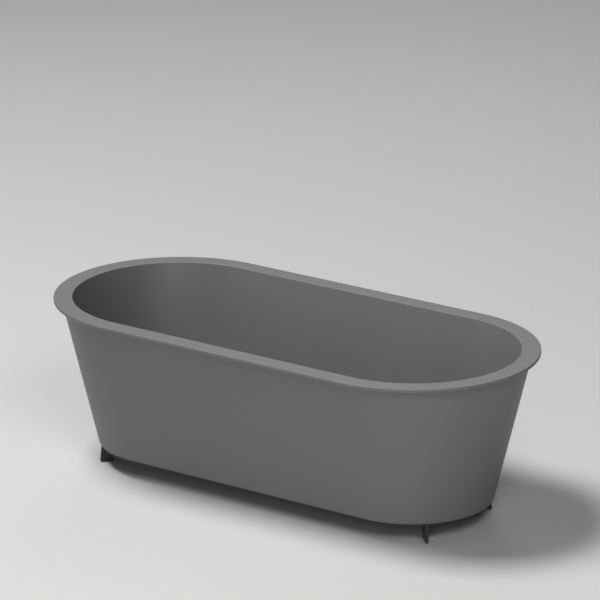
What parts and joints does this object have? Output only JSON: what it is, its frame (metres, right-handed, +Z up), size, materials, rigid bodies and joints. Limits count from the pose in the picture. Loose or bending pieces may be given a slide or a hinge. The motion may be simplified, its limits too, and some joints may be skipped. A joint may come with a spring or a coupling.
{
  "type": "freestanding bathtub",
  "caption": "Freestanding bathtub with a flat wide rim, tapered round-ended body, dark base ring on fin feet, and a rising plug over a swivelling trap.",
  "frame": {"origin": "on the floor, below the centre of the waste, which is the middle of the tub", "axes": "+X along the tub, +Y across it away from the viewer, +Z up"},
  "size_m": [1.6996, 0.8, 0.554],
  "materials": {
    "solid_surface": "matte, finely honed mineral solid surface",
    "powder_coated_steel": "fine textured near-black powder coat",
    "zinc_steel": "bright zinc plate",
    "spring_steel": "drawn stainless wire",
    "chrome": "polished chrome plate",
    "brass": "machined",
    "rubber": "matte moulded",
    "black_plastic": "moulded satin",
    "pale_plastic": "moulded polypropylene"
  },
  "bodies": {
    "tub": {"basin": "solid_surface", "outer_shell": "solid_surface", "insert_nuts": "brass", "base_ring": "powder_coated_steel", "frame_bolts": "zinc_steel", "frame_washers": "zinc_steel", "cross_beam_left": "powder_coated_steel", "cross_beam_right": "powder_coated_steel", "support_block_front_left": "rubber", "support_block_back_left": "rubber", "support_block_front_right": "rubber", "support_block_back_right": "rubber", "foot_front_left": "powder_coated_steel", "foot_back_left": "powder_coated_steel", "foot_front_right": "powder_coated_steel", "foot_back_right": "powder_coated_steel", "foot_pad_front_left": "rubber", "foot_pad_back_left": "rubber", "foot_pad_front_right": "rubber", "foot_pad_back_right": "rubber", "waste_flange": "chrome", "flange_seal": "rubber", "under_gasket": "rubber", "lock_nut": "brass", "click_cartridge": "brass", "plug_spring": "spring_steel", "union_nut": "black_plastic", "union_seal": "rubber"},
    "plug": {"plug_cap": "chrome", "plug_seal": "rubber", "plug_stem": "chrome"},
    "trap": {"trap_lid": "pale_plastic", "trap_cup": "pale_plastic", "outlet_nut": "black_plastic", "outlet_seal": "rubber"},
    "elbow": {"outlet_elbow": "pale_plastic"}
  },
  "joints": [
    {"name": "plug_lift", "type": "slide", "parent": "tub", "child": "plug", "axis": [0, 0, 1], "range_m": [0, 0.009], "deforming": ["plug_spring"]},
    {"name": "trap_swivel", "type": "hinge", "parent": "tub", "child": "trap", "pos_m": [0, 0, 0.0885], "axis": [0, 0, 1], "continuous": true},
    {"name": "outlet_swivel", "type": "hinge", "parent": "trap", "child": "elbow", "pos_m": [0.09, 0, 0.05], "axis": [1, 0, 0], "range_deg": [-90, 90]}
  ]
}
